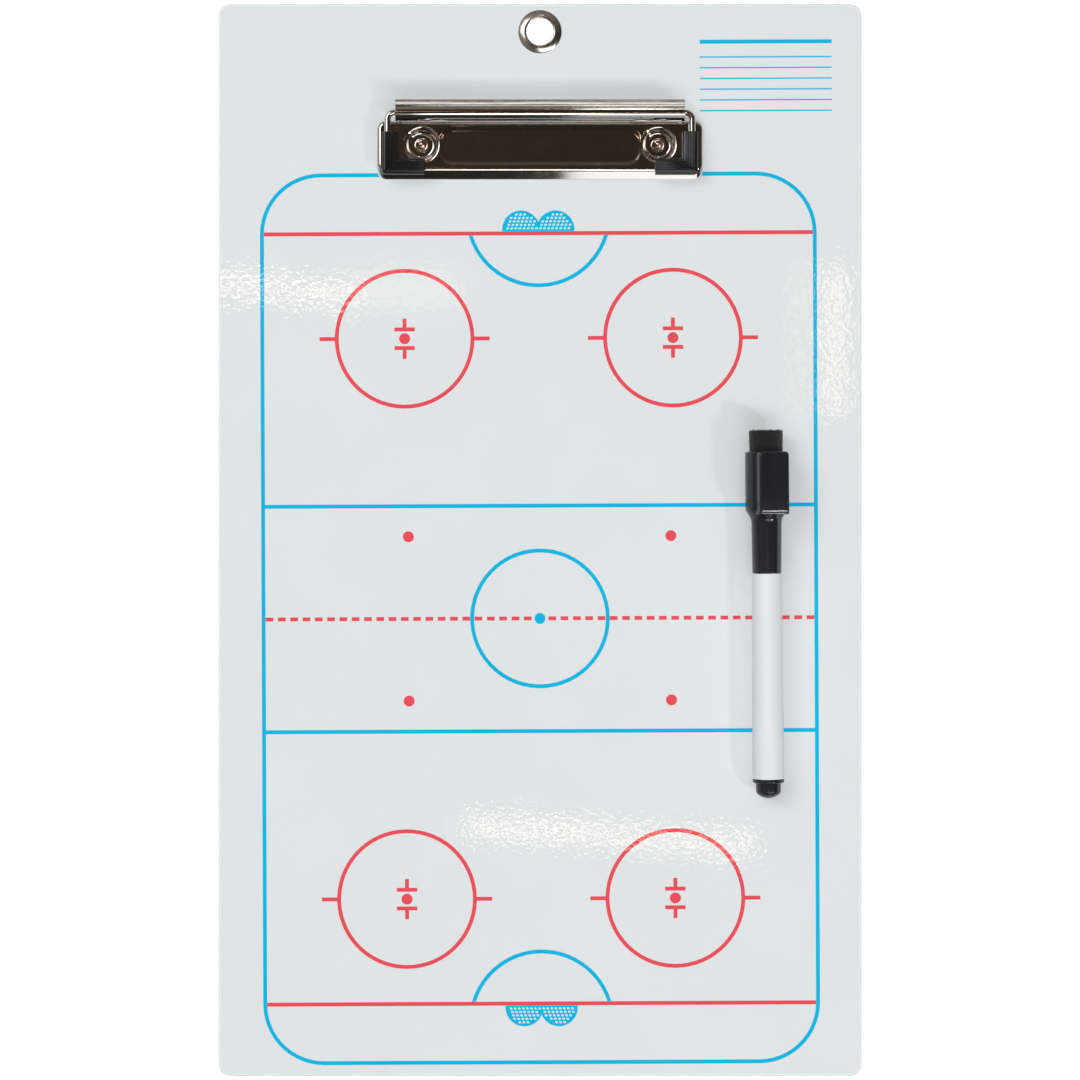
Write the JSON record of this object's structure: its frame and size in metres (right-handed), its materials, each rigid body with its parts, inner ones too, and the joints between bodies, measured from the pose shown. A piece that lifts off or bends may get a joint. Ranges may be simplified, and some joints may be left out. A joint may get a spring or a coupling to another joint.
{
  "type": "tactics board",
  "caption": "Rectangular clipboard with a printed rink, a hanging eyelet, a sprung bail clip for paper and a capped dry-wipe marker lying on its face.",
  "frame": {"origin": "middle of the board, at the lowest metal of the back", "axes": "+X across the board, +Y towards the eyelet, +Z out of the writing face"},
  "size_m": [0.24, 0.4, 0.0222],
  "materials": {
    "core": "rigid white sheet, rounded edge",
    "laminate": "glossy dry-wipe laminate",
    "blue_ink": "printed ink under gloss",
    "red_ink": "printed ink under gloss",
    "nickel": "polished nickel plate",
    "clip_chrome": "bright nickel plate on pressed steel",
    "rivet_metal": "polished, slightly coppery",
    "spring_steel": "drawn spring wire",
    "sleeve_plastic": "soft ribbed black plastic",
    "barrel_plastic": "satin white moulding",
    "marker_black": "glossy black moulding",
    "felt": "pressed black felt",
    "fibre": "ink-soaked fibre rod"
  },
  "bodies": {
    "board": {"board_core": "core", "writing_film": "laminate", "back_film": "laminate", "rink_lines_blue": "blue_ink", "rink_lines_red": "red_ink", "grommet_eyelet": "nickel", "grommet_washer": "nickel", "clip_base_plate": "clip_chrome", "rivet_left": "rivet_metal", "rivet_right": "rivet_metal", "torsion_spring_left": "spring_steel", "torsion_spring_right": "spring_steel"},
    "jaw": {"clip_lever": "clip_chrome", "bail_wire": "clip_chrome", "grip_sleeve_left": "sleeve_plastic", "grip_sleeve_right": "sleeve_plastic"},
    "marker": {"marker_barrel": "barrel_plastic", "marker_end_plug": "marker_black", "marker_ink_reservoir": "fibre", "marker_nib_holder": "marker_black", "marker_nib": "felt"},
    "cap": {"marker_cap": "marker_black", "marker_eraser": "felt"}
  },
  "joints": [
    {"name": "jaw_swing", "type": "hinge", "parent": "board", "child": "jaw", "pos_m": [0, 0.1586, 0.00925], "axis": [-1, 0, 0], "range_deg": [0, 28], "stiffness_Nm_per_rad": 0.35, "springref_deg": -28.65},
    {"name": "marker_lift", "type": "slide", "parent": "board", "child": "marker", "axis": [0, 0, 1], "range_m": [0, 0.06]},
    {"name": "cap_pull", "type": "slide", "parent": "marker", "child": "cap", "axis": [-0.0087, 0.9998, 0.0191], "range_m": [0, 0.03]}
  ]
}
